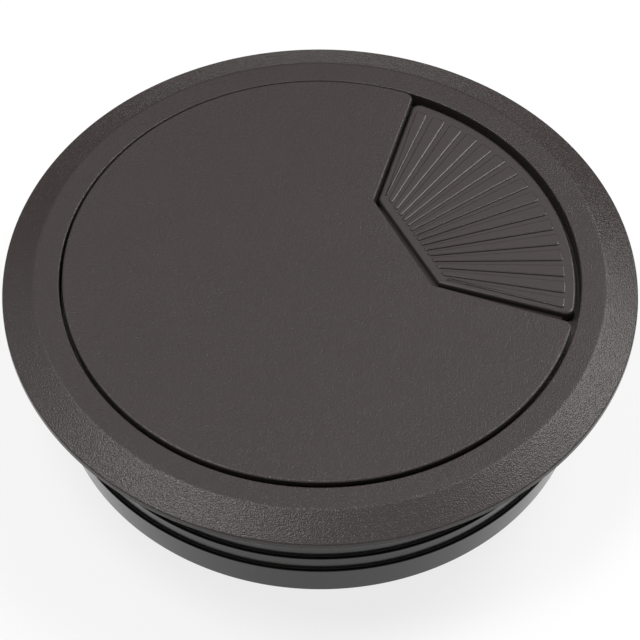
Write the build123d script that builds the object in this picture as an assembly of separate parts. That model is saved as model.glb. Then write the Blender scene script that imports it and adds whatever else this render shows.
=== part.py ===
"""Desk cable grommet: a round sleeve for an 80 mm hole, a flat cap and a turning shutter.

Millimetres, +Z up. The origin is on the sleeve's axis, at the underside of its flange,
where the flange sits on the desk top.
"""
from build123d import *
import math
import os

# Tube that drops through the desk, with saw-tooth rings that grip the hole
tube_radius = 39.2
tube_depth = 20.4
tube_band = 2.6
ring_count = 4
ring_pitch = 3.05
first_ring_depth = 5.0
ring_bite = 0.48
tube_lead_in = 1.1
tube_wall = 2.0
tube_tip_wall = 1.3
tube_edge_break = 0.3

# Flange: the bevelled ring round the tube, which rests on the desk
flange_overhang = 5.8
flange_rim_height = 1.0
bevel_rise = 1.8
ring_top_width = 3.65
bevel_blend = 1.2
rim_edge_break = 0.2
flange_wall = 1.4
outer_seat_width = 1.6
inner_seat_width = 2.2

# Opening in the flange, and the ledge inside it that carries the cap
opening_step = 2.4
opening_edge_break = 0.2
ledge_depth = 2.7
ledge_width = 2.6
ledge_thickness = 1.4

# Cap: a thin disc with a rim below it that stands on the ledge
cap_gap = 0.38
cap_proud = 0.5
cap_thickness = 1.0
cap_seat_clearance = 0.05
cap_edge_break = 0.18
cap_rim_wall = 1.2
cap_rim_setback = 0.3
cap_rib_count = 5
cap_rib_width = 1.0
cap_rib_height = 1.2

# Snap hooks that reach through the ledge and hold the cap, yet let it turn
hook_count = 3
hook_span = 14.0
hook_side_clearance = 0.3
hook_wall = 1.3
hook_catch = 0.9
hook_catch_height = 1.2
hook_clearance = 0.15

# Notch in the cap: a wedge between two straight sides, with a straight inner edge
notch_direction = 27.5
notch_side_shift = -0.64
notch_half_angle = 46.1
notch_apex = 4.46
notch_inner_edge = 12.9
notch_inner_round = 0.7
notch_outer_round = 1.3

# Shutter: the ribbed wedge that fills the notch and turns away under the cap
shutter_lean = 1.0
shutter_taper = 0.7
shutter_apex_shift = 1.0
shutter_inner_gap = 1.3
shutter_arc_gap = 0.6
shutter_drop = 0.35
shutter_thickness = 1.5
shutter_edge_radius = 0.4
shutter_inner_round = 0.6
shutter_outer_round = 1.3
shutter_web_thickness = 0.5
shutter_web_margin = 1.3
shutter_travel = 83.0
stop_clearance = 0.9
rim_clearance = 0.3

# Finger grip on the shutter: low pads with fine grooves between them
groove_count = 15
groove_pitch = 5.65
groove_angle = 1.5
grip_height = 0.2
grip_side_margin = 0.85
grip_inner_margin = 1.3
grip_arc_margin = 1.5
grip_corner_round = 0.2

# Pivot: a split snap boss under the cap's centre, and the shutter's hub around it
boss_radius = 4.0
boss_wall = 1.4
boss_slot_width = 1.2
boss_head_overhang = 0.55
boss_head_height = 1.0
boss_head_clearance = 0.25
hub_running_clearance = 0.08
hub_wall = 3.4
hub_lift = 0.15

# Levels, from the desk's surface at zero
ring_top = flange_rim_height + bevel_rise
ledge_top = ring_top - ledge_depth
ledge_bottom = ledge_top - ledge_thickness
cap_top = ring_top + cap_proud
cap_underside = cap_top - cap_thickness
shutter_top = cap_underside - shutter_drop
shutter_bottom = shutter_top - shutter_thickness

# Radii that follow from the sizes above
flange_radius = tube_radius + flange_overhang
opening_radius = tube_radius - opening_step
crease_radius = opening_radius + ring_top_width
ledge_radius = opening_radius - ledge_width
cap_radius = opening_radius - cap_gap
cap_rim_radius = cap_radius - cap_rim_setback
cap_rim_inner_radius = cap_rim_radius - cap_rim_wall
shutter_radius = opening_radius - shutter_arc_gap
hub_bore_radius = boss_radius + hub_running_clearance
hub_radius = hub_bore_radius + hub_wall

# The shutter's wedge, from the notch's and its gaps
shutter_direction = notch_direction + shutter_lean
shutter_half_angle = notch_half_angle - shutter_taper
shutter_apex = notch_apex + shutter_apex_shift
shutter_inner_edge = notch_inner_edge + shutter_inner_gap
web_apex = shutter_apex - shutter_web_margin / math.sin(math.radians(shutter_half_angle))
web_reach = cap_rim_inner_radius - rim_clearance


def sector_reach(radius, apex, half_angle, shift=0.0):
    """Angle from a wedge's direction to where its upper side meets a circle about the axis."""
    slant = math.radians(half_angle)
    offset = apex * math.sin(slant) - shift * math.cos(slant)
    return half_angle - 90 + math.degrees(math.acos(offset / radius))


def nearest_vertex(shape, point):
    """The vertex of a shape that lies nearest to a point."""
    return min(shape.vertices(), key=lambda vertex: (vertex.center() - Vector(*point)).length)


def round_corners(face, corners):
    """Round corners of a flat face, given as pairs of a point and a radius."""
    for point, radius in corners:
        face = fillet(nearest_vertex(face, point), radius)
    return face


def break_corners(face, corners):
    """Take the sharpness off corners of a flat face, given as pairs of a point and a length."""
    for point, length in corners:
        face = chamfer(nearest_vertex(face, point), length)
    return face


def wedge(apex, half_angle, inner_edge, reach):
    """A wedge along +X: its apex on the axis line, cut straight at its inner edge."""
    slope = math.tan(math.radians(half_angle))
    inner_half = (inner_edge - apex) * slope
    outer_half = (reach - apex) * slope
    return make_face(
        Polyline(
            (inner_edge, -inner_half),
            (reach, -outer_half),
            (reach, outer_half),
            (inner_edge, inner_half),
            close=True,
        )
    )


def sleeve_profile():
    """Half section of the sleeve, radius across and height up."""
    bevel_slope = bevel_rise / (flange_radius - crease_radius)
    core_outer = flange_radius - outer_seat_width
    core_inner = tube_radius + inner_seat_width
    core_outer_top = flange_rim_height + (flange_radius - core_outer) * bevel_slope - flange_wall
    core_inner_top = flange_rim_height + (flange_radius - core_inner) * bevel_slope - flange_wall
    root_radius = tube_radius - ring_bite
    tip_radius = tube_radius - tube_lead_in
    outline = [
        (opening_radius, ledge_top),
        (opening_radius, ring_top),
        (crease_radius, ring_top),
        (flange_radius, flange_rim_height),
        (flange_radius, 0),
        (core_outer, 0),
        (core_outer, core_outer_top),
        (core_inner, core_inner_top),
        (core_inner, 0),
        (tube_radius, 0),
        (tube_radius, -tube_band),
    ]
    for ring in range(ring_count):
        level = -first_ring_depth - ring * ring_pitch
        outline += [(root_radius, level), (tube_radius, level)]
    outline += [
        (tip_radius, -tube_depth),
        (tip_radius - tube_tip_wall, -tube_depth),
        (tube_radius - ring_bite - tube_wall, ledge_bottom),
        (ledge_radius, ledge_bottom),
        (ledge_radius, ledge_top),
    ]
    broken = [
        ((opening_radius, ring_top), opening_edge_break),
        ((flange_radius, flange_rim_height), rim_edge_break),
        ((tip_radius, -tube_depth), tube_edge_break),
    ]
    face = round_corners(
        make_face(Polyline(*outline, close=True)), [((crease_radius, ring_top), bevel_blend)]
    )
    return break_corners(face, broken)


def sleeve():
    """The one-piece collar: bevelled flange, inner ledge and ringed tube."""
    return revolve(Plane.XZ * sleeve_profile(), axis=Axis.Z)


def cap_outline():
    """Plan of the cap: a disc with the wedge notch cut in from its edge."""
    notch = wedge(notch_apex, notch_half_angle, notch_inner_edge, cap_radius * 1.5)
    disc = Circle(cap_radius) - Pos(0, notch_side_shift) * notch
    slope = math.tan(math.radians(notch_half_angle))
    inner_half = (notch_inner_edge - notch_apex) * slope
    rounded = []
    for side in (-1, 1):
        inner_corner = (notch_inner_edge, notch_side_shift + side * inner_half)
        rounded.append((inner_corner, notch_inner_round))
        shift = side * notch_side_shift
        reach = math.radians(sector_reach(cap_radius, notch_apex, notch_half_angle, shift))
        rim_corner = (cap_radius * math.cos(reach), side * cap_radius * math.sin(reach))
        rounded.append((rim_corner, notch_outer_round))
    return round_corners(disc.face(), rounded)


def cap_rim():
    """The part ring below the cap; its ends stop the shutter at both limits."""
    wall = Circle(cap_rim_radius) - Circle(cap_rim_inner_radius)
    foot = ledge_top + cap_seat_clearance
    ring = Pos(0, 0, foot) * extrude(wall, cap_underside - foot)
    reach = sector_reach(shutter_radius, shutter_apex, shutter_half_angle)
    margin = math.degrees(stop_clearance / shutter_radius)
    first = shutter_direction - shutter_travel - reach - margin
    last = shutter_direction + reach + margin
    middle = math.radians((first + last) / 2)
    far = cap_radius * 3
    gap = make_face(
        Polyline(
            (0, 0),
            (far * math.cos(math.radians(first)), far * math.sin(math.radians(first))),
            (far * math.cos(middle), far * math.sin(middle)),
            (far * math.cos(math.radians(last)), far * math.sin(math.radians(last))),
            close=True,
        )
    )
    return ring - Pos(0, 0, foot) * extrude(gap, cap_underside - foot)


def free_directions(count):
    """Directions that share out evenly the side of the cap the shutter never reaches."""
    reach = sector_reach(shutter_radius, shutter_apex, shutter_half_angle)
    start = shutter_direction + reach
    step = (360 - shutter_travel - 2 * reach) / count
    return [start + (number + 0.5) * step for number in range(count)]


def cap_ribs():
    """Radial stiffeners under the side of the cap that the shutter never reaches."""
    start = hub_radius + rim_clearance
    length = cap_rim_inner_radius + cap_rim_wall / 2 - start
    rib = Pos(start + length / 2, 0, cap_underside - cap_rib_height / 2)
    rib = rib * Box(length, cap_rib_width, cap_rib_height)
    return [Rot(0, 0, direction) * rib for direction in free_directions(cap_rib_count)]


def cap_hooks():
    """Curved snap hooks inside the rim; their catches sit just under the ledge."""
    outer = ledge_radius - hook_side_clearance
    catch_top = ledge_bottom - hook_clearance
    catch_bottom = catch_top - hook_catch_height
    profile = make_face(
        Polyline(
            (outer - hook_wall, cap_underside),
            (cap_rim_radius - cap_rim_wall / 2, cap_underside),
            (cap_rim_radius - cap_rim_wall / 2, ledge_top + hook_catch_height),
            (outer, ledge_top + hook_catch_height / 2),
            (outer, catch_top),
            (outer + hook_catch, catch_top),
            (outer + hook_catch, catch_top - hook_catch / 3),
            (outer - hook_wall / 3, catch_bottom),
            (outer - hook_wall, catch_bottom),
            close=True,
        )
    )
    hook = revolve(Plane.XZ * profile, axis=Axis.Z, revolution_arc=hook_span)
    hook = Rot(0, 0, -hook_span / 2) * hook
    return [Rot(0, 0, direction) * hook for direction in free_directions(hook_count)]


def cap_boss():
    """Hollow split boss with a snap head, which the shutter's hub turns on."""
    head_top = shutter_bottom - boss_head_clearance
    head_radius = boss_radius + boss_head_overhang
    head_bottom = head_top - boss_head_height
    half_section = make_face(
        Polyline(
            (boss_radius - boss_wall, cap_underside),
            (boss_radius, cap_underside),
            (boss_radius, head_top),
            (head_radius, head_top),
            (head_radius, head_top - boss_head_overhang / 2),
            (boss_radius, head_bottom),
            (boss_radius - boss_wall, head_bottom),
            close=True,
        )
    )
    boss = revolve(Plane.XZ * half_section, axis=Axis.Z)
    slot_height = shutter_top - head_bottom
    slot = Pos(0, 0, head_bottom + slot_height / 2)
    for turn in (0, 90):
        boss -= slot * Rot(0, 0, turn) * Box(4 * boss_radius, boss_slot_width, slot_height)
    return boss


def cap():
    """The cap with its notch, rim, ribs, snap hooks and pivot boss."""
    plate = Pos(0, 0, cap_underside) * extrude(cap_outline(), cap_thickness)
    top_face = plate.faces().sort_by(Axis.Z)[-1]
    plate = chamfer(top_face.outer_wire().edges(), cap_edge_break)
    body = Rot(0, 0, notch_direction) * plate + cap_rim() + cap_boss()
    for detail in cap_ribs() + cap_hooks():
        body += detail
    return body


def shutter_outline(side_margin, inner_margin, arc_margin):
    """Plan of the shutter's wedge along +X, set in from its edges by the margins."""
    apex = shutter_apex + side_margin / math.sin(math.radians(shutter_half_angle))
    inner_edge = shutter_inner_edge + inner_margin
    blank = wedge(apex, shutter_half_angle, inner_edge, shutter_radius * 1.5)
    return (blank & Circle(shutter_radius - arc_margin)).face()


def shutter_plate():
    """The raised wedge that shows in the notch, with its upper edges rounded."""
    half_width = (shutter_inner_edge - shutter_apex) * math.tan(math.radians(shutter_half_angle))
    reach = math.radians(sector_reach(shutter_radius, shutter_apex, shutter_half_angle))
    rounded = []
    for side in (-1, 1):
        rounded.append(((shutter_inner_edge, side * half_width), shutter_inner_round))
        arc_corner = (shutter_radius * math.cos(reach), side * shutter_radius * math.sin(reach))
        rounded.append((arc_corner, shutter_outer_round))
    outline = round_corners(shutter_outline(0, 0, 0), rounded)
    plate = Pos(0, 0, shutter_bottom) * extrude(outline, shutter_thickness)
    return fillet(plate.faces().sort_by(Axis.Z)[-1].outer_wire().edges(), shutter_edge_radius)


def shutter_hub():
    """The hub ring and the thin web that joins it to the wedge and closes the gaps round it."""
    sheet = wedge(web_apex, shutter_half_angle, hub_bore_radius + hub_wall / 2, web_reach * 1.5)
    sheet = (sheet & Circle(web_reach)).face()
    web = Pos(0, 0, shutter_bottom) * extrude(sheet, shutter_web_thickness)
    hub_height = cap_underside - hub_lift - shutter_bottom
    hub = Pos(0, 0, shutter_bottom) * extrude(Circle(hub_radius), hub_height)
    bore = Pos(0, 0, shutter_bottom) * extrude(Circle(hub_bore_radius), hub_height)
    return web + hub - bore


def grip_pads():
    """Low pads in a fan, which meet at the wedge's apex; fine grooves part them."""
    panel = shutter_outline(grip_side_margin, grip_inner_margin, grip_arc_margin)
    far = shutter_radius * 1.2
    half_groove = math.radians(groove_angle / 2)
    groove = make_face(
        Polyline(
            (shutter_apex, 0),
            (shutter_apex + far * math.cos(half_groove), -far * math.sin(half_groove)),
            (shutter_apex + far * math.cos(half_groove), far * math.sin(half_groove)),
            close=True,
        )
    )
    turn_about_apex = Pos(shutter_apex, 0, 0)
    for number in range(groove_count):
        angle = (number - (groove_count - 1) / 2) * groove_pitch
        panel -= turn_about_apex * Rot(0, 0, angle) * Pos(-shutter_apex, 0, 0) * groove
    pads = []
    for face in panel.faces():
        rounded_face = fillet(face.vertices(), grip_corner_round)
        pads.append(Pos(0, 0, shutter_top) * extrude(rounded_face, grip_height))
    return pads


def shutter():
    """The one-piece shutter: ribbed wedge, web and hub, as it lies when shut."""
    body = shutter_plate() + shutter_hub()
    for pad in grip_pads():
        body += pad
    return Rot(0, 0, shutter_direction) * body


def main():
    """Write each piece to its own file."""
    os.makedirs("parts", exist_ok=True)
    for name, solid in (("sleeve", sleeve()), ("cap", cap()), ("shutter", shutter())):
        export_step(solid, f"parts/{name}.step")


main()
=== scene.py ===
"""Studio scene of a round desk cable grommet: sleeve, turning cap and ribbed shutter.

The three mouldings are surfaces worked out with numpy, in dark grey grained plastic. Sizes are
in millimetres until a mesh is written, and the frame is the CAD model's: the origin on the axis
at the underside of the flange, +Z up.
"""

import logging
import math
from dataclasses import dataclass, field
from enum import Enum

import bpy
import numpy as np
from mathutils import Matrix, Vector


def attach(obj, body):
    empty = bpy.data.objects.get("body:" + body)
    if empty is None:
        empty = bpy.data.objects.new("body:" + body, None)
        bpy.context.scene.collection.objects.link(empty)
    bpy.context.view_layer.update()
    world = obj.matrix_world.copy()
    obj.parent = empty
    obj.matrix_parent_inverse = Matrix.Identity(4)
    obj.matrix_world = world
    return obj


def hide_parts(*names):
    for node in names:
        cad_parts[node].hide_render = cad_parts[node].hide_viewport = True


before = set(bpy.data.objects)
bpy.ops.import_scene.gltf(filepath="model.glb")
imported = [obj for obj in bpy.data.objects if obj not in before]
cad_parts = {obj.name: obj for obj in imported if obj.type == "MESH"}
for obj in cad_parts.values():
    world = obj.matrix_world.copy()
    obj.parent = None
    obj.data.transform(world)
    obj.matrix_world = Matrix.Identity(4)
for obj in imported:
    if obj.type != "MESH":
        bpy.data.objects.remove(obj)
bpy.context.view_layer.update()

LOG = logging.getLogger("grommet")
MM = 0.001
CORNER_STEPS = 4
ROUND_STEPS = 240
GUARD = 0.03
SHARP_ANGLE = math.radians(32)


class Body(Enum):
    """The bodies of the grommet; each is also a CAD node and a material slot."""

    SLEEVE = "sleeve"
    CAP = "cap"
    SHUTTER = "shutter"


class Lids(Enum):
    """Which open ends of a grid of points are closed with a flat face."""

    NONE = "none"
    ROWS = "rows"
    COLUMNS = "columns"


def unit(angle: float | np.ndarray) -> np.ndarray:
    """Unit vectors at angles from +X: cosine across, sine up.

    Args:
        angle: One angle or an array of them, in radians.

    Returns:
        The vectors, with the two coordinates on the last axis.
    """
    return np.stack([np.cos(angle), np.sin(angle)], axis=-1)


def near_turn(angle: float, other: float) -> float:
    """The angle, plus whole turns, that lies within half a turn of another.

    Args:
        angle: The angle to move, in radians.
        other: The angle to come near to, in radians.

    Returns:
        The moved angle.
    """
    return other + (angle - other + math.pi) % (2 * math.pi) - math.pi


@dataclass(frozen=True)
class Side:
    """A straight side of an outline: the points whose product with its outward normal is offset."""

    angle: float
    offset: float

    def inward(self, distance: float) -> "Side":
        """The same side, moved into the material by a distance."""
        return Side(self.angle, self.offset - distance)


@dataclass(frozen=True)
class Arc:
    """A round part of an outline: centre + (radius - inset) (cos t, sin t), t from start to end.

    A hollow corner has a negative radius and runs backwards.
    """

    centre: tuple[float, float]
    radius: float
    start: float
    end: float
    steps: int
    meets_next: bool = False

    def points(self, inset: float) -> np.ndarray:
        """Points along the arc, moved into the material.

        Args:
            inset: How far to move them.

        Returns:
            An array of points; the last is left out where the next arc starts at it.
        """
        turn = np.linspace(self.start, self.end, self.steps + 1)
        along = np.array(self.centre) + (self.radius - inset) * unit(turn)
        return along[:-1] if self.meets_next else along


def corner(first: Side, second: Side, radius: float, steps: int = 6) -> Arc:
    """Rounds the corner where two sides meet; a negative radius makes a hollow corner.

    Args:
        first: The side that comes before the corner, counter-clockwise.
        second: The side after it.
        radius: Radius of the corner.
        steps: Straight steps along it.

    Returns:
        The arc, whose centre lies one radius inside both sides.
    """
    normals = np.stack([unit(first.angle), unit(second.angle)])
    offsets = np.array([first.offset - radius, second.offset - radius])
    centre = np.linalg.solve(normals, offsets)
    return Arc(tuple(centre), radius, first.angle, near_turn(second.angle, first.angle), steps)


def rim_corner(side: Side, rim: float, radius: float, side_first: bool, steps: int = 8) -> Arc:
    """Rounds the corner between a side and the circle of radius rim about the axis.

    The centre lies one radius inside the side, and at rim minus radius from the axis.

    Args:
        side: The straight side.
        rim: Radius of the circle.
        radius: Radius of the corner.
        side_first: Whether the side comes before the circle, counter-clockwise.
        steps: Straight steps along it.

    Returns:
        The arc of the corner.
    """
    inward = side.offset - radius
    across = math.sqrt((rim - radius) ** 2 - inward**2) * (1 if side_first else -1)
    normal = unit(side.angle)
    centre = inward * normal + across * np.array([-normal[1], normal[0]])
    radial = near_turn(math.atan2(centre[1], centre[0]), side.angle)
    ends = (side.angle, radial) if side_first else (radial, side.angle)
    return Arc(tuple(centre), radius, *ends, steps, meets_next=side_first)


@dataclass(frozen=True)
class Outline:
    """A closed outline, counter-clockwise: arcs joined by straight lines, then turned."""

    arcs: tuple[Arc, ...]
    turn: float = 0.0

    def at(self, inset: float) -> np.ndarray:
        """The outline drawn in by an inset all round.

        Args:
            inset: Distance into the material.

        Returns:
            An array of plane points.
        """
        flat = np.concatenate([arc.points(inset) for arc in self.arcs])
        cosine, sine = math.cos(self.turn), math.sin(self.turn)
        return flat @ np.array([[cosine, sine], [-sine, cosine]])


def rim_arc(rim: float, after: Arc, before: Arc, steps: int) -> Arc:
    """The stretch of a circle about the axis between two of its corners.

    Args:
        rim: Radius of the circle.
        after: The corner it starts at.
        before: The corner it ends at.
        steps: Straight steps along it.

    Returns:
        The arc.
    """
    span = (before.start - after.end) % (2 * math.pi)
    return Arc((0.0, 0.0), rim, after.end, after.end + span, steps, meets_next=True)


def sector(lower: Side, inner: Side, upper: Side, rim: float, inner_round: float,
           outer_round: float, rim_steps: int, turn: float) -> Outline:
    """A wedge cut straight inside and round the axis outside, with its corners rounded.

    Args:
        lower: Its clockwise side.
        inner: Its straight inner edge.
        upper: Its counter-clockwise side.
        rim: Radius of its outer arc.
        inner_round: Radius of the two inner corners.
        outer_round: Radius of the two outer corners.
        rim_steps: Straight steps along the outer arc.
        turn: Angle by which the whole is turned about the axis.

    Returns:
        The outline.
    """
    opening = rim_corner(lower, rim, outer_round, True)
    closing = rim_corner(upper, rim, outer_round, False)
    arcs = (
        opening,
        rim_arc(rim, opening, closing, rim_steps),
        closing,
        corner(upper, inner, inner_round),
        corner(inner, lower, inner_round),
    )
    return Outline(arcs, turn)


def rounded_profile(corners: list[tuple[float, float, float]]) -> np.ndarray:
    """Rounds every corner of a closed profile that runs clockwise, radius across and height up.

    With unit edges a and b into and out of a corner and the turn f between them, the arc starts
    r tan(f/2) before the corner and turns by f about a centre r beside its start. A guard point
    before and after each arc keeps the flats beside it flat.

    Args:
        corners: Radius, height and rounding of each corner.

    Returns:
        An array of points, radius and height.
    """
    table = np.array(corners)
    place, rounding = table[:, :2], table[:, 2]
    leave = np.roll(place, -1, axis=0) - place
    leave /= np.linalg.norm(leave, axis=1, keepdims=True)
    arrive = np.roll(leave, 1, axis=0)
    turn = np.arctan2(
        arrive[:, 0] * leave[:, 1] - arrive[:, 1] * leave[:, 0], (arrive * leave).sum(axis=1)
    )
    side = np.sign(turn)[:, None]
    length = (rounding * np.tan(np.abs(turn) / 2))[:, None]
    left = np.stack([-arrive[:, 1], arrive[:, 0]], axis=1)
    start = place - arrive * length
    centre = start + side * rounding[:, None] * left
    share = turn[:, None] * np.linspace(0.0, 1.0, CORNER_STEPS + 1)
    spoke = start - centre
    arc = centre[:, None] + np.stack(
        [
            np.cos(share) * spoke[:, :1] - np.sin(share) * spoke[:, 1:],
            np.sin(share) * spoke[:, :1] + np.cos(share) * spoke[:, 1:],
        ],
        axis=-1,
    )
    before = place - arrive * (length + GUARD)
    after = place + leave * (length + GUARD)
    return np.concatenate([before[:, None], arc, after[:, None]], axis=1).reshape(-1, 2)


def edge_rows(top: float, bottom: float, top_round: float, bottom_round: float) -> np.ndarray:
    """The edge of a plate as rows of inset and height, from its top face round to its underside.

    Both edges are quarter circles: inset r (1 - sin t) and drop r (1 - cos t) at the top, and the
    other way round at the bottom.

    Args:
        top: Height of the top face.
        bottom: Height of the underside.
        top_round: Radius of the upper edge.
        bottom_round: Radius of the lower edge.

    Returns:
        An array of rows, each an inset and a height.
    """
    t = np.linspace(0.0, math.pi / 2, CORNER_STEPS + 1)
    upper = np.stack([top_round * (1 - np.sin(t)), top - top_round * (1 - np.cos(t))], axis=1)
    lower = np.stack(
        [bottom_round * (1 - np.cos(t)), bottom + bottom_round * (1 - np.sin(t))], axis=1
    )
    return np.concatenate(
        [
            [[top_round + GUARD, top]],
            upper,
            [[0.0, top - top_round - GUARD], [0.0, bottom + bottom_round + GUARD]],
            lower,
            [[bottom_round + GUARD, bottom]],
        ]
    )


@dataclass
class Shell:
    """Gathers surfaces in millimetres, each a grid of points, into one mesh."""

    name: str
    points: list[np.ndarray] = field(default_factory=list)
    faces: list[list[int]] = field(default_factory=list)
    count: int = 0

    def grid(self, surface: np.ndarray, close_rows: bool, close_columns: bool, lids: Lids) -> None:
        """Adds a surface given as a function of two parameters on a grid.

        Args:
            surface: Points in rows and columns; facing outwards, rows run from the top face
                out and down, and columns run counter-clockwise.
            close_rows: Whether the last row joins the first.
            close_columns: Whether the last column joins the first.
            lids: Which open ends are closed with a flat face.
        """
        rows, columns = surface.shape[:2]
        index = self.count + np.arange(rows * columns).reshape(rows, columns)
        ring = np.concatenate([index, index[:1]]) if close_rows else index
        ring = np.concatenate([ring, ring[:, :1]], axis=1) if close_columns else ring
        quads = np.stack([ring[:-1, :-1], ring[1:, :-1], ring[1:, 1:], ring[:-1, 1:]], axis=-1)
        self.faces += quads.reshape(-1, 4).tolist()
        if lids is Lids.ROWS:
            self.faces += [index[0].tolist(), index[-1, ::-1].tolist()]
        elif lids is Lids.COLUMNS:
            self.faces += [index[::-1, 0].tolist(), index[:, -1].tolist()]
        self.points.append(surface.reshape(-1, 3))
        self.count += rows * columns

    def plate(self, outline: Outline, rows: np.ndarray) -> None:
        """Adds a plate: at each row, the outline drawn in by the row's inset, at its height.

        Args:
            outline: Plan of the plate.
            rows: Insets and heights, from edge_rows.
        """
        rings = np.stack([outline.at(inset) for inset in rows[:, 0]])
        height = np.broadcast_to(rows[:, 1, None, None], rings.shape[:2] + (1,))
        self.grid(np.concatenate([rings, height], axis=2), False, True, Lids.ROWS)

    def turned(self, profile: np.ndarray, span: tuple[float, float] | None = None) -> None:
        """Adds a profile carried round the axis: (r cos t, r sin t, z).

        Args:
            profile: Closed profile, clockwise, radius and height.
            span: Angles where it starts and ends, or None for a whole turn.
        """
        start, end = span or (0.0, 2 * math.pi)
        steps = max(6, math.ceil(ROUND_STEPS * (end - start) / (2 * math.pi)))
        turn = np.linspace(start, end, steps + 1)[: None if span else -1]
        flat = profile[:, :1, None] * unit(turn)[None]
        height = np.broadcast_to(profile[:, 1:, None], flat.shape[:2] + (1,))
        surface = np.concatenate([flat, height], axis=2)
        self.grid(surface, True, span is None, Lids.COLUMNS if span else Lids.NONE)

    def finish(self) -> bpy.types.Object:
        """Writes the mesh in metres, smooth but for its sharp edges, and links its object.

        Returns:
            The object, at the origin.
        """
        mesh = bpy.data.meshes.new(self.name)
        mesh.from_pydata((np.concatenate(self.points) * MM).tolist(), [], self.faces)
        mesh.shade_smooth()
        mesh.set_sharp_from_angle(angle=SHARP_ANGLE)
        piece = bpy.data.objects.new(self.name, mesh)
        bpy.context.scene.collection.objects.link(piece)
        return piece


class Wire:
    """A node's output socket, on which arithmetic adds Math nodes."""

    def __init__(self, paint: "Paint", socket: bpy.types.NodeSocket) -> None:
        """Wraps a socket of a paint's nodes.

        Args:
            paint: The material being built.
            socket: The output socket.
        """
        self.paint = paint
        self.socket = socket

    def math(self, operation: str, first: "Wire | float", second: "Wire | float") -> "Wire":
        """One Math node.

        Args:
            operation: Blender's name of the operation.
            first: First operand.
            second: Second operand.

        Returns:
            Its result.
        """
        return self.paint.node("ShaderNodeMath", {"operation": operation}, {0: first, 1: second})

    def __add__(self, other: "Wire | float") -> "Wire":
        """Sum."""
        return self.math("ADD", self, other)

    __radd__ = __add__

    def __sub__(self, other: "Wire | float") -> "Wire":
        """Difference."""
        return self.math("SUBTRACT", self, other)

    def __rsub__(self, other: float) -> "Wire":
        """Difference, the other way round."""
        return self.math("SUBTRACT", other, self)

    def __mul__(self, other: "Wire | float") -> "Wire":
        """Product."""
        return self.math("MULTIPLY", self, other)

    __rmul__ = __mul__

    def __gt__(self, other: float) -> "Wire":
        """1 where it is larger, else 0."""
        return self.math("GREATER_THAN", self, other)

    def __lt__(self, other: float) -> "Wire":
        """1 where it is smaller, else 0."""
        return self.math("LESS_THAN", self, other)


class Paint:
    """Builds the nodes of one material or world."""

    def __init__(self, block: bpy.types.Material | bpy.types.World) -> None:
        """Empties the block's nodes.

        Args:
            block: The material or world.
        """
        block.use_nodes = True
        self.tree = block.node_tree
        self.tree.nodes.clear()

    def node(self, kind: str, settings: dict[str, object] | None = None,
             inputs: dict[str | int, object] | None = None, output: str | int = 0) -> Wire:
        """Adds a node: its settings are set first, then its sockets are given values or links.

        Args:
            kind: Blender's node type.
            settings: Attributes of the node.
            inputs: A value or a wire for each named or numbered input.
            output: Name or number of the output to hand back.

        Returns:
            The wire from that output.
        """
        made = self.tree.nodes.new(kind)
        for name, value in (settings or {}).items():
            setattr(made, name, value)
        for name, value in (inputs or {}).items():
            if isinstance(value, Wire):
                self.tree.links.new(value.socket, made.inputs[name])
            else:
                made.inputs[name].default_value = value
        return Wire(self, made.outputs[output] if made.outputs else None)

    def noise(self, place: Wire, grain: float, detail: float) -> Wire:
        """Noise with lumps of a given size, from 0 to 1.

        Args:
            place: Where on the object.
            grain: Size of the lumps, in millimetres.
            detail: Octaves of finer noise.

        Returns:
            Its value.
        """
        values = {"Vector": place, "Scale": 1 / (grain * MM), "Detail": detail}
        return self.node("ShaderNodeTexNoise", {}, values, "Fac")

    def grey_matt(self, grey: float) -> Wire:
        """A matt surface of one grey.

        Args:
            grey: How light it is, from 0 to 1.

        Returns:
            Its shader.
        """
        return self.node("ShaderNodeBsdfDiffuse", {}, {"Color": (grey, grey, grey, 1.0)})

    def blend(self, factor: Wire, first: object, second: object) -> Wire:
        """Mixes two colours.

        Args:
            factor: Share of the second.
            first: A colour or a wire.
            second: A colour or a wire.

        Returns:
            The mixed colour.
        """
        return self.node(
            "ShaderNodeMix", {"data_type": "RGBA"}, {0: factor, 6: first, 7: second}, 2
        )


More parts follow.
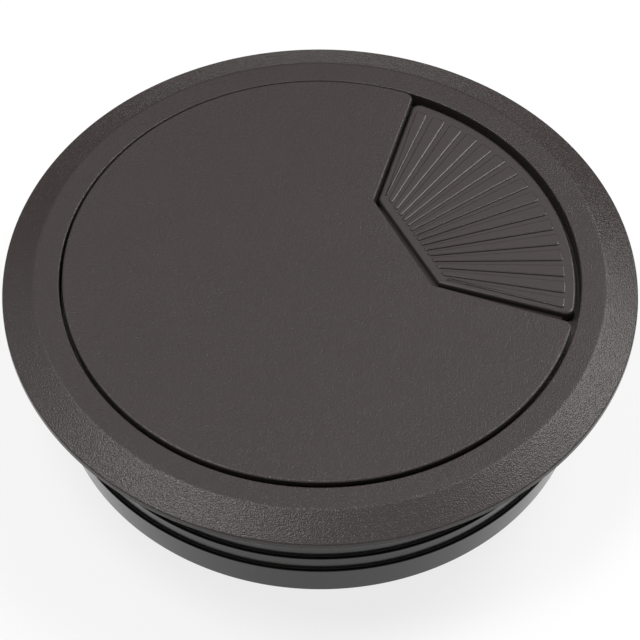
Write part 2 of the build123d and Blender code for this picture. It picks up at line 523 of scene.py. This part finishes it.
@dataclass(frozen=True)
class GrainedPlastic:
    """Moulded plastic with the fine even grain of a spark-eroded mould, and a little dust on it."""

    name: str
    colour: tuple[float, float, float] = (0.0469, 0.0387, 0.0372)
    # Colour of the tube below the desk, darker and greyer: painted shade under the flange.
    shaded_tube_colour: tuple[float, float, float] = (0.0175, 0.0162, 0.0157)
    dust_colour: tuple[float, float, float] = (0.32, 0.31, 0.30)
    colour_spread: float = 0.14
    roughness: float = 0.18
    grain_in_roughness: float = 0.10
    wave_in_roughness: float = 0.05
    ior: float = 1.5
    specular: float = 0.22
    grain: float = 0.2
    coarse_ratio: float = 2.2
    grain_height: float = 0.07
    fine_in_height: float = 0.95
    coarse_in_height: float = 0.12
    fine_in_speckle: float = 0.9
    coarse_in_speckle: float = 0.5
    speckle_in_shade: float = 0.55
    smooth_below: float = -0.2
    smooth_share: float = 0.12
    wave: float = 9.0
    wave_height: float = 0.012
    wave_in_shade: float = 0.28
    dust_spacing: float = 4.6
    dust_radius: float = 0.03
    dust_cover: float = 0.5

    def material(self) -> bpy.types.Material:
        """Builds the material.

        The grain is two sizes of noise in the bump, and it also moves the colour and roughness a
        little, so that it still reads where the bump is too fine to see. Only the faces above the
        desk have it in full, because the tube's half of the mould has a smooth finish. Below the
        desk the colour is also darker and greyer: that is painted shade, for the tube standing in
        shade under the flange. Slow noise clouds the colour, as flow in the mould does. Dust is
        the middle of sparse, scattered cells.

        Returns:
            The material.
        """
        material = bpy.data.materials.new(self.name)
        paint = Paint(material)
        place = paint.node("ShaderNodeTexCoord", output="Object")
        level = paint.node("ShaderNodeSeparateXYZ", {}, {"Vector": place}, "Z")
        grained = level > self.smooth_below * MM
        fine = paint.noise(place, self.grain, 1.0)
        coarse = paint.noise(place, self.grain * self.coarse_ratio, 0.0)
        slow = paint.noise(place, self.wave, 2.0)
        speckle = (fine - 0.5) * self.fine_in_speckle + (coarse - 0.5) * self.coarse_in_speckle
        shade = 0.5 + (slow - 0.5) * self.wave_in_shade + speckle * self.speckle_in_shade
        dark = (*(c * (1 - self.colour_spread) for c in self.colour), 1.0)
        light = (*(c * (1 + self.colour_spread) for c in self.colour), 1.0)
        # Below the desk the base colour is painted shade, darker and greyer, for the tube under the
        # flange.
        shaded_tube = (*self.shaded_tube_colour, 1.0)
        colour = paint.blend(grained, shaded_tube, paint.blend(shade, dark, light))
        cells = {"Vector": place, "Scale": 1 / (self.dust_spacing * MM), "Randomness": 1.0}
        settings = {"feature": "F1", "distance": "EUCLIDEAN"}
        distance = paint.node("ShaderNodeTexVoronoi", settings, cells, "Distance")
        speck = (distance < self.dust_radius / self.dust_spacing) * self.dust_cover
        colour = paint.blend(speck, colour, (*self.dust_colour, 1.0))
        roughness = self.roughness + speckle * self.grain_in_roughness
        roughness += (slow - 0.5) * self.wave_in_roughness
        height = (fine * self.fine_in_height + coarse * self.coarse_in_height) * (
            self.smooth_share + (1 - self.smooth_share) * grained
        )
        finely = paint.node(
            "ShaderNodeBump",
            {},
            {"Strength": 1.0, "Distance": self.grain_height * MM, "Height": height},
            "Normal",
        )
        normal = paint.node(
            "ShaderNodeBump",
            {},
            {"Strength": 1.0, "Distance": self.wave_height * MM, "Height": slow, "Normal": finely},
            "Normal",
        )
        surface = paint.node(
            "ShaderNodeBsdfPrincipled",
            {},
            {
                "Base Color": colour,
                "Roughness": roughness,
                "IOR": self.ior,
                "Specular IOR Level": self.specular,
                "Normal": normal,
            },
        )
        paint.node("ShaderNodeOutputMaterial", {}, {"Surface": surface})
        return material


@dataclass(frozen=True)
class Levels:
    """Heights and radii that the three mouldings share."""

    ring_top: float = 2.8
    ledge_top: float = 0.1
    ledge_bottom: float = -1.3
    opening_radius: float = 36.86
    ledge_radius: float = 34.2
    cap_top: float = 3.3
    cap_underside: float = 2.3
    cap_radius: float = 36.42
    shutter_top: float = 1.95
    shutter_bottom: float = 0.45
    shutter_radius: float = 36.2
    shutter_apex: float = 5.46
    shutter_half_angle: float = math.radians(45.4)
    shutter_direction: float = math.radians(28.5)
    shutter_travel: float = math.radians(83.0)
    hub_radius: float = 7.48

    def shutter_reach(self) -> float:
        """Angle from the shutter's middle line to where its side meets its rim."""
        offset = self.shutter_apex * math.sin(self.shutter_half_angle)
        return self.shutter_half_angle - math.pi / 2 + math.acos(offset / self.shutter_radius)

    def free_directions(self, count: int) -> list[float]:
        """Directions spread over the side of the cap that the shutter never reaches.

        Args:
            count: How many.

        Returns:
            The directions, in radians.
        """
        start = self.shutter_direction + self.shutter_reach()
        step = (2 * math.pi - self.shutter_travel - 2 * self.shutter_reach()) / count
        return [start + (number + 0.5) * step for number in range(count)]


LEVELS = Levels()


@dataclass
class Moulding:
    """One moulded piece of the grommet, which stands for a CAD node and moves with its body."""

    body: Body
    finish: GrainedPlastic

    def shape(self, shell: Shell) -> None:
        """Adds the piece's surfaces to a shell.

        Args:
            shell: Where they go.
        """
        raise NotImplementedError

    def make(self) -> bpy.types.Object:
        """Builds and dresses the piece, and ties it to its body.

        Returns:
            The finished object.
        """
        shell = Shell(f"{self.body.value}_moulding")
        self.shape(shell)
        piece = shell.finish()
        piece.data.materials.append(self.finish.material())
        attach(piece, self.body.value)
        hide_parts(self.body.value)
        LOG.info("%s: %d faces in %s", piece.name, len(piece.data.polygons), self.finish.name)
        return piece


@dataclass
class Sleeve(Moulding):
    """The collar: bevelled flange, ledge for the cap, and a tube with saw-tooth grip rings."""

    flange_radius: float = 45.0
    flange_wall: float = 1.4
    rim_height: float = 1.0
    rim_round: float = 0.22
    rim_foot_round: float = 0.12
    crease_radius: float = 40.45
    crease_round: float = 1.4
    opening_edge_round: float = 0.2
    fine_round: float = 0.08
    soft_round: float = 0.3
    throat_round: float = 0.15
    ledge_round: float = 0.1
    band_round: float = 0.2
    seat_inner_radius: float = 43.4
    core_inner_radius: float = 41.4
    tube_radius: float = 39.2
    band_depth: float = 2.6
    ring_depths: tuple[float, ...] = (5.0, 8.05, 11.1, 14.15)
    ring_root_radius: float = 38.72
    root_round: float = 0.06
    tooth_round: float = 0.09
    tip_radius: float = 38.1
    tip_inner_radius: float = 36.8
    tube_depth: float = 20.4
    inner_radius: float = 36.72

    def shape(self, shell: Shell) -> None:
        """Carries the collar's section round the axis.

        Args:
            shell: Where the surface goes.
        """
        lv = LEVELS
        slope = (lv.ring_top - self.rim_height) / (self.flange_radius - self.crease_radius)
        core = [
            self.rim_height + (self.flange_radius - radius) * slope - self.flange_wall
            for radius in (self.seat_inner_radius, self.core_inner_radius)
        ]
        section = [
            (lv.opening_radius, lv.ledge_top, self.throat_round),
            (lv.opening_radius, lv.ring_top, self.opening_edge_round),
            (self.crease_radius, lv.ring_top, self.crease_round),
            (self.flange_radius, self.rim_height, self.rim_round),
            (self.flange_radius, 0.0, self.rim_foot_round),
            (self.seat_inner_radius, 0.0, self.fine_round),
            (self.seat_inner_radius, core[0], self.fine_round),
            (self.core_inner_radius, core[1], self.soft_round),
            (self.core_inner_radius, 0.0, self.fine_round),
            (self.tube_radius, 0.0, self.band_round),
            (self.tube_radius, -self.band_depth, self.root_round),
        ]
        for depth in self.ring_depths:
            section.append((self.ring_root_radius, -depth, self.root_round))
            section.append((self.tube_radius, -depth, self.tooth_round))
        section += [
            (self.tip_radius, -self.tube_depth, self.soft_round),
            (self.tip_inner_radius, -self.tube_depth, self.throat_round),
            (self.inner_radius, lv.ledge_bottom, self.soft_round),
            (lv.ledge_radius, lv.ledge_bottom, self.ledge_round),
            (lv.ledge_radius, lv.ledge_top, self.ledge_round),
        ]
        shell.turned(rounded_profile(section))


@dataclass
class Cap(Moulding):
    """The cap: a disc with a wedge notch, and below it a part ring, ribs, hooks and a boss."""

    direction: float = math.radians(27.5)
    side_shift: float = -0.64
    half_angle: float = math.radians(46.1)
    apex: float = 4.46
    inner_edge: float = 12.9
    inner_round: float = 0.7
    outer_round: float = 1.3
    edge_round: float = 0.28
    rim_outer: float = 36.12
    rim_inner: float = 34.92
    seat_clearance: float = 0.05
    stop_clearance: float = 0.9
    rib_start: float = 7.78
    rib_count: int = 5
    rib_width: float = 1.0
    rib_height: float = 1.2
    fine_round: float = 0.08
    hidden_round: float = 0.02
    foot_round: float = 0.15
    tip_round: float = 0.1
    hook_count: int = 3
    hook_span: float = math.radians(14.0)
    hook_outer: float = 33.9
    hook_wall: float = 1.3
    hook_catch: float = 0.9
    hook_catch_height: float = 1.2
    hook_clearance: float = 0.15
    boss_outer: float = 4.0
    boss_inner: float = 2.6
    boss_head: float = 4.55
    boss_head_drop: float = 0.25
    boss_head_height: float = 1.0
    boss_head_rim: float = 0.275
    boss_slot: float = 1.2
    sunk: float = 0.05

    def plan(self) -> Outline:
        """Plan of the disc with its notch: the notch's sides are turned to face into it.

        Returns:
            The outline.
        """
        middle = self.apex * math.sin(self.half_angle)
        shift = self.side_shift * math.cos(self.half_angle)
        lower = Side(math.pi / 2 - self.half_angle, middle + shift)
        inner = Side(0.0, self.inner_edge)
        upper = Side(self.half_angle - math.pi / 2, middle - shift)
        leaving = rim_corner(upper, LEVELS.cap_radius, self.outer_round, True)
        coming = rim_corner(lower, LEVELS.cap_radius, self.outer_round, False)
        arcs = (
            leaving,
            rim_arc(LEVELS.cap_radius, leaving, coming, ROUND_STEPS),
            coming,
            corner(lower, inner, -self.inner_round),
            corner(inner, upper, -self.inner_round),
        )
        return Outline(arcs, self.direction)

    def shape(self, shell: Shell) -> None:
        """Adds the disc and everything under it.

        Args:
            shell: Where the surfaces go.
        """
        lv = LEVELS
        rows = edge_rows(lv.cap_top, lv.cap_underside, self.edge_round, self.fine_round)
        shell.plate(self.plan(), rows)
        self.add_rim(shell)
        self.add_ribs(shell)
        self.add_hooks(shell)
        self.add_boss(shell)

    def add_rim(self, shell: Shell) -> None:
        """Adds the part ring that stands on the ledge and stops the shutter at its ends.

        Args:
            shell: Where the surface goes.
        """
        lv = LEVELS
        foot = lv.ledge_top + self.seat_clearance
        top = lv.cap_underside + self.sunk
        margin = self.stop_clearance / lv.shutter_radius
        start = lv.shutter_direction + lv.shutter_reach() + margin
        end = 2 * math.pi + lv.shutter_direction - lv.shutter_travel - lv.shutter_reach() - margin
        section = [
            (self.rim_inner, top, self.hidden_round),
            (self.rim_outer, top, self.hidden_round),
            (self.rim_outer, foot, self.foot_round),
            (self.rim_inner, foot, self.foot_round),
        ]
        shell.turned(rounded_profile(section), (start, end))

    def add_ribs(self, shell: Shell) -> None:
        """Adds the radial ribs: straight bars with rounded edges.

        Args:
            shell: Where the surfaces go.
        """
        far = (self.rim_inner + self.rim_outer) / 2
        half = self.rib_width / 2
        sides = (Side(0.0, far), Side(math.pi / 2, half), Side(math.pi, -self.rib_start),
                 Side(1.5 * math.pi, half))
        pairs = zip(sides, sides[1:] + sides[:1])
        arcs = tuple(corner(first, second, self.tip_round, 2) for first, second in pairs)
        top = LEVELS.cap_underside
        rows = edge_rows(top + self.sunk, top - self.rib_height, 0.01, self.fine_round)
        for direction in LEVELS.free_directions(self.rib_count):
            shell.plate(Outline(arcs, direction), rows)

    def add_hooks(self, shell: Shell) -> None:
        """Adds the curved snap hooks that reach through the ledge.

        Args:
            shell: Where the surfaces go.
        """
        lv = LEVELS
        root = (self.rim_inner + self.rim_outer) / 2
        catch = lv.ledge_bottom - self.hook_clearance
        tip = catch - self.hook_catch_height
        section = [
            (self.hook_outer - self.hook_wall, lv.cap_underside + self.sunk, self.hidden_round),
            (root, lv.cap_underside + self.sunk, self.hidden_round),
            (root, lv.ledge_top + self.hook_catch_height, 0.05),
            (self.hook_outer, lv.ledge_top + self.hook_catch_height / 2, 0.2),
            (self.hook_outer, catch, self.fine_round),
            (self.hook_outer + self.hook_catch, catch, self.fine_round),
            (self.hook_outer + self.hook_catch, catch - self.hook_catch / 3, self.fine_round),
            (self.hook_outer - self.hook_wall / 3, tip, self.tip_round),
            (self.hook_outer - self.hook_wall, tip, self.tip_round),
        ]
        profile = rounded_profile(section)
        for direction in lv.free_directions(self.hook_count):
            half = self.hook_span / 2
            shell.turned(profile, (direction - half, direction + half))

    def add_boss(self, shell: Shell) -> None:
        """Adds the hollow boss, split in four below, with its snap head.

        Args:
            shell: Where the surfaces go.
        """
        lv = LEVELS
        head_top = lv.shutter_bottom - self.boss_head_drop
        head_bottom = head_top - self.boss_head_height
        neck = [
            (self.boss_inner, lv.cap_underside + self.sunk, self.hidden_round),
            (self.boss_outer, lv.cap_underside + self.sunk, self.hidden_round),
            (self.boss_outer, lv.shutter_top, self.hidden_round),
            (self.boss_inner, lv.shutter_top, self.hidden_round),
        ]
        shell.turned(rounded_profile(neck))
        prong = [
            (self.boss_inner, lv.shutter_top + self.sunk, self.hidden_round),
            (self.boss_outer, lv.shutter_top + self.sunk, self.hidden_round),
            (self.boss_outer, head_top, self.fine_round),
            (self.boss_head, head_top, 0.06),
            (self.boss_head, head_top - self.boss_head_rim, self.fine_round),
            (self.boss_outer, head_bottom, self.tip_round),
            (self.boss_inner, head_bottom, self.tip_round),
        ]
        profile = rounded_profile(prong)
        gap = math.asin(self.boss_slot / (self.boss_outer + self.boss_inner))
        for quarter in range(4):
            start = quarter * math.pi / 2
            shell.turned(profile, (start + gap, start + math.pi / 2 - gap))


@dataclass
class Shutter(Moulding):
    """The shutter: a wedge with a fan of low grip pads, a thin web and a hub round the boss."""

    inner_edge: float = 14.2
    inner_round: float = 0.6
    outer_round: float = 1.3
    edge_round: float = 0.4
    web_thickness: float = 0.5
    web_margin: float = 1.3
    web_shut_margin: float = 2.5
    web_start: float = 5.78
    web_reach: float = 34.62
    bore_radius: float = 4.08
    hub_top: float = 2.15
    hub_round: float = 0.12
    groove_count: int = 15
    groove_pitch: float = math.radians(5.65)
    groove_angle: float = math.radians(1.5)
    grip_height: float = 0.2
    side_margin: float = 0.85
    inner_margin: float = 1.3
    rim_margin: float = 1.5
    pad_round: float = 0.24
    pad_bevel: float = 0.16
    pad_wall: float = 0.05
    pad_tilt: float = math.radians(26.0)
    pad_outer_share: float = 1.6
    rim_steps: int = 90
    pad_rim_steps: int = 4
    foot_round: float = 0.1
    web_round: float = 0.08
    sunk: float = 0.05

    def sides(self) -> tuple[Side, Side, Side]:
        """The wedge's lower side, inner edge and upper side, along +X.

        Returns:
            The three sides.
        """
        half = LEVELS.shutter_half_angle
        offset = -LEVELS.shutter_apex * math.sin(half)
        return (
            Side(-math.pi / 2 - half, offset),
            Side(math.pi, -self.inner_edge),
            Side(math.pi / 2 + half, offset),
        )

    def shape(self, shell: Shell) -> None:
        """Adds the wedge, its pads, the web and the hub.

        Args:
            shell: Where the surfaces go.
        """
        lv = LEVELS
        lower, inner, upper = self.sides()
        wedge = sector(lower, inner, upper, lv.shutter_radius, self.inner_round,
                       self.outer_round, self.rim_steps, lv.shutter_direction)
        rows = edge_rows(lv.shutter_top, lv.shutter_bottom, self.edge_round, self.foot_round)
        shell.plate(wedge, rows)
        self.add_pads(shell)
        self.add_web(shell)
        hub = [
            (self.bore_radius, self.hub_top, self.foot_round),
            (lv.hub_radius, self.hub_top, self.hub_round),
            (lv.hub_radius, lv.shutter_bottom, self.hub_round),
            (self.bore_radius, lv.shutter_bottom, 0.15),
        ]
        shell.turned(rounded_profile(hub))

    def add_pads(self, shell: Shell) -> None:
        """Adds the pads: each lies between two grooves that meet at the wedge's apex.

        A pad's edge is a flat bevel, which catches the light as a fine line, above a steep wall.

        Args:
            shell: Where the surfaces go.
        """
        lv = LEVELS
        lower, inner, upper = self.sides()
        first = -(self.groove_count - 1) / 2 * self.groove_pitch
        edges = [lower.inward(self.side_margin)]
        for number in range(self.groove_count):
            middle = first + number * self.groove_pitch
            for wall, facing in ((-1, 1), (1, -1)):
                angle = middle + wall * self.groove_angle / 2 + facing * math.pi / 2
                edges.append(Side(angle, lv.shutter_apex * math.cos(angle)))
        edges.append(upper.inward(self.side_margin))
        top = lv.shutter_top + self.grip_height
        edge = self.pad_wall + self.pad_bevel
        wall_top = top - self.pad_bevel * math.tan(self.pad_tilt)
        rows = np.array([(edge + GUARD, top), (edge, top), (self.pad_wall, wall_top),
                         (0.0, lv.shutter_top - self.sunk)])
        rim = lv.shutter_radius - self.rim_margin
        for clockwise, counter in zip(edges[::2], edges[1::2]):
            pad = sector(clockwise, inner.inward(self.inner_margin), counter, rim,
                         self.pad_round, self.pad_round * self.pad_outer_share,
                         self.pad_rim_steps, lv.shutter_direction)
            shell.plate(pad, rows)

    def add_web(self, shell: Shell) -> None:
        """Adds the thin web: a wider, lower wedge that closes the gaps and joins the hub.

        It is widest on the lower side, where the gap to the notch is, so that no light comes up.

        Args:
            shell: Where the surface goes.
        """
        lv = LEVELS
        lower, _, upper = self.sides()
        start = Side(math.pi, -self.web_start)
        web = sector(lower.inward(-self.web_shut_margin), start, upper.inward(-self.web_margin),
                     self.web_reach, 0.1, 0.3, self.rim_steps, lv.shutter_direction)
        top = lv.shutter_bottom + self.web_thickness
        shell.plate(web, edge_rows(top, lv.shutter_bottom, self.web_round, self.web_round))


@dataclass(frozen=True)
class Softbox:
    """A flat lamp that faces the grommet: angles in degrees, distance and sizes in metres.

    Its place is given from the flange's centre. Azimuth 0 is behind the grommet, along +Y, and
    grows to the right.
    """

    name: str
    azimuth: float
    elevation: float
    distance: float
    width: float
    height: float
    radiance: float

    def light(self) -> bpy.types.Object:
        """Makes the lamp. Its power is radiance x pi x area.

        Returns:
            The lamp's object.
        """
        azimuth, elevation = math.radians(self.azimuth), math.radians(self.elevation)
        flat = self.distance * math.cos(elevation)
        place = Vector((
            flat * math.sin(azimuth),
            flat * math.cos(azimuth),
            self.distance * math.sin(elevation),
        ))
        lamp = bpy.data.lights.new(self.name, "AREA")
        lamp.shape = "RECTANGLE"
        lamp.size, lamp.size_y = self.width, self.height
        lamp.energy = self.radiance * math.pi * self.width * self.height
        holder = bpy.data.objects.new(self.name, lamp)
        turn = place.to_track_quat("Z", "Y").to_matrix().to_4x4()
        holder.matrix_world = Matrix.Translation(place) @ turn
        holder.visible_camera = False
        bpy.context.scene.collection.objects.link(holder)
        return holder


@dataclass
class Studio:
    """A white floor and surround, soft lamps, and a camera at the photograph's viewing angle."""

    floor_height: float = -20.4
    floor_half: float = 3.0
    floor_white: float = 0.8
    floor_glow: float = 0.8
    floor_shaded: float = 0.2
    card_left: float = -0.36
    card_right: float = 0.5
    card_height: float = 0.24
    card_distance: float = 0.3
    card_black: float = 0.01
    ambient: float = 0.1
    lens: float = 168.75
    sensor: float = 36.0
    clip_range: tuple[float, float] = (0.01, 20.0)
    camera_place: tuple[float, float, float] = (0.0, -267.06, 331.97)
    camera_pitch: float = 0.904856
    camera_roll: float = 0.0054064
    lamps: tuple[Softbox, ...] = (
        Softbox("left_high_softbox", -86, 70, 1.0, 0.4, 0.4, 10.0),
        Softbox("right_high_softbox", 60, 52, 1.0, 0.45, 0.45, 8.2),
        Softbox("right_back_softbox", 41, 35, 1.0, 0.4, 0.35, 5.0),
        Softbox("left_back_softbox", -56, 50, 1.0, 0.35, 0.35, 0.9),
        Softbox("back_softbox", 0, 52, 1.0, 0.6, 0.4, 0.3),
        Softbox("right_fill_softbox", 22, 50, 1.0, 0.3, 0.35, 0.4),
    )

    def build(self) -> None:
        """Makes the floor, surround, lamps and camera, and sets the view transform."""
        self.add_floor()
        self.add_card()
        self.add_surround()
        for lamp in self.lamps:
            lamp.light()
        self.add_camera()
        bpy.context.scene.view_settings.view_transform = "Standard"

    def seen_directly(self, paint: Paint) -> Wire:
        """1 for rays that show the background: from the camera, or by way of gloss or glass.

        Args:
            paint: The material or world being built.

        Returns:
            The mask.
        """
        rays = [paint.node("ShaderNodeLightPath", output=name) for name in
                ("Is Camera Ray", "Is Glossy Ray", "Is Transmission Ray")]
        return rays[0] + rays[1] + rays[2] > 0.5

    def add_floor(self) -> None:
        """Makes the white floor that the tube stands on.

        Seen directly it is a glow and a little matt white, so that it keeps a faint shadow.
        """
        half = self.floor_half
        mesh = bpy.data.meshes.new("studio_floor")
        height = self.floor_height * MM
        corners = [(-half, -half, height), (half, -half, height), (half, half, height),
                   (-half, half, height)]
        mesh.from_pydata(corners, [], [(0, 1, 2, 3)])
        floor = bpy.data.objects.new("studio_floor", mesh)
        bpy.context.scene.collection.objects.link(floor)
        material = bpy.data.materials.new("white_floor")
        paint = Paint(material)
        matt = paint.grey_matt(self.floor_white)
        faint = paint.grey_matt(self.floor_shaded)
        white = {"Color": (1, 1, 1, 1), "Strength": self.floor_glow}
        glow = paint.node("ShaderNodeEmission", {}, white)
        bright = paint.node("ShaderNodeAddShader", {}, {0: glow, 1: faint})
        mask = self.seen_directly(paint)
        mixed = paint.node("ShaderNodeMixShader", {}, {0: mask, 1: matt, 2: bright})
        paint.node("ShaderNodeOutputMaterial", {}, {"Surface": mixed})
        mesh.materials.append(material)

    def add_card(self) -> None:
        """Makes the black card behind, which keeps the white surround out of the bevel's sheen."""
        left, right = self.card_left, self.card_right
        top, back = self.card_height, self.card_distance
        foot = self.floor_height * MM
        mesh = bpy.data.meshes.new("black_card")
        corners = [(left, back, foot), (right, back, foot), (right, back, top), (left, back, top)]
        mesh.from_pydata(corners, [], [(0, 1, 2, 3)])
        card = bpy.data.objects.new("black_card", mesh)
        card.visible_camera = card.visible_shadow = card.visible_diffuse = False
        bpy.context.scene.collection.objects.link(card)
        material = bpy.data.materials.new("black_card")
        paint = Paint(material)
        paint.node("ShaderNodeOutputMaterial", {}, {"Surface": paint.grey_matt(self.card_black)})
        mesh.materials.append(material)

    def add_surround(self) -> None:
        """Makes the world: white where it is seen directly, and a soft grey light elsewhere."""
        world = bpy.data.worlds.new("white_surround")
        paint = Paint(world)
        seen = self.seen_directly(paint)
        strength = self.ambient + seen * (1.0 - self.ambient)
        back = paint.node("ShaderNodeBackground", {}, {"Color": (1, 1, 1, 1), "Strength": strength})
        paint.node("ShaderNodeOutputWorld", {}, {"Surface": back})
        bpy.context.scene.world = world

    def add_camera(self) -> None:
        """Makes the camera: it looks down by the pitch, then rolls by the roll."""
        pitch, roll = self.camera_pitch, self.camera_roll
        look = Vector((0.0, math.cos(pitch), -math.sin(pitch)))
        right = Vector((1.0, 0.0, 0.0))
        up = right.cross(look)
        across = right * math.cos(roll) + up * math.sin(roll)
        upward = up * math.cos(roll) - right * math.sin(roll)
        turn = Matrix((across, upward, -look)).transposed().to_4x4()
        data = bpy.data.cameras.new("photo_camera")
        data.lens, data.sensor_width = self.lens, self.sensor
        data.sensor_fit = "HORIZONTAL"
        data.clip_start, data.clip_end = self.clip_range
        camera = bpy.data.objects.new("photo_camera", data)
        camera.matrix_world = Matrix.Translation(Vector(self.camera_place) * MM) @ turn
        bpy.context.scene.collection.objects.link(camera)
        bpy.context.scene.camera = camera


def main() -> None:
    """Builds the grommet's three mouldings and the studio."""
    logging.basicConfig(level=logging.INFO, format="%(name)s: %(message)s")
    pieces = (
        Sleeve(Body.SLEEVE, GrainedPlastic("sleeve_plastic")),
        Cap(Body.CAP, GrainedPlastic("cap_plastic")),
        Shutter(Body.SHUTTER, GrainedPlastic("shutter_plastic", grain_height=0.03)),
    )
    for piece in pieces:
        piece.make()
    Studio().build()


if __name__ == "__main__":
    main()
